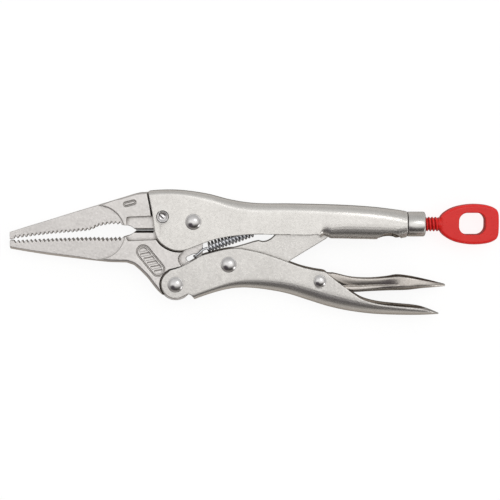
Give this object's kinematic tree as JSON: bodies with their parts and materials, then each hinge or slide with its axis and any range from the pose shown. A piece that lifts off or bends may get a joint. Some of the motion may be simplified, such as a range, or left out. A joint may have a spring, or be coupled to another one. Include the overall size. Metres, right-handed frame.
{
  "type": "locking pliers",
  "caption": "Long-nose locking pliers with toothed jaws, wire cutter, toggle linkage, return spring, release lever and an adjusting screw that ends in a red loop.",
  "frame": {"origin": "on the main pivot's axis, in the plane that the pliers rest on when laid on one side", "axes": "+X from the nose to the tail, +Y from the moving handle to the fixed handle, +Z along the pivots, up"},
  "size_m": [0.2344, 0.0602, 0.0155],
  "materials": {
    "satin_nickel": "satin nickel plate on stamped sheet steel",
    "forged_nickel": "satin nickel plate on forged steel, ground flanks",
    "polished_nickel": "bright nickel plate on rivet heads",
    "spring_steel": "plated spring wire",
    "red_coating": "smooth red coating on forged steel"
  },
  "bodies": {
    "fixed_frame": {"upper_handle": "satin_nickel", "fixed_jaw": "forged_nickel", "fixed_jaw_pin": "satin_nickel", "main_pivot_rivet": "polished_nickel", "screw_collar": "satin_nickel", "return_spring": "spring_steel"},
    "moving_jaw": {"lower_jaw": "forged_nickel"},
    "moving_handle": {"lower_handle": "satin_nickel", "jaw_handle_rivet": "polished_nickel", "link_rivet": "polished_nickel", "lever_pin": "polished_nickel"},
    "toggle": {"toggle_link": "satin_nickel"},
    "lever": {"release_lever": "satin_nickel"},
    "screw_carriage": {"screw_stop_ring": "spring_steel"},
    "screw": {"adjusting_screw": "red_coating"}
  },
  "joints": [
    {"name": "jaw_pivot", "type": "hinge", "parent": "fixed_frame", "child": "moving_jaw", "pos_m": [0, 0, 0.00775], "axis": [0, 0, 1], "range_deg": [0, 18], "deforming": ["return_spring"]},
    {"name": "handle_pivot", "type": "hinge", "parent": "moving_jaw", "child": "moving_handle", "pos_m": [-0.0086, -0.03, 0.00775], "axis": [0, 0, 1], "range_deg": [-51.4, 0]},
    {"name": "link_pivot", "type": "hinge", "parent": "moving_handle", "child": "toggle", "pos_m": [0.0168, -0.0204, 0.00775], "axis": [0, 0, 1], "range_deg": [0, 60.4]},
    {"name": "lever_pivot", "type": "hinge", "parent": "moving_handle", "child": "lever", "pos_m": [0.0604, -0.0283, 0.00775], "axis": [0, 0, 1], "range_deg": [-9, 0]},
    {"name": "screw_travel", "type": "slide", "parent": "fixed_frame", "child": "screw_carriage", "axis": [1, 0, 0], "range_m": [0, 0.0192]},
    {"name": "screw_turn", "type": "hinge", "parent": "screw_carriage", "child": "screw", "pos_m": [0.07, -0.0014, 0.00775], "axis": [1, 0, 0], "range_deg": [0, 4321]}
  ],
  "couplings": [
    {"joint": "handle_pivot", "follows": "jaw_pivot", "ratio": -2.85},
    {"joint": "link_pivot", "follows": "jaw_pivot", "ratio": 3.35},
    {"joint": "screw_turn", "follows": "screw_travel", "rad_per_m": 3927}
  ]
}
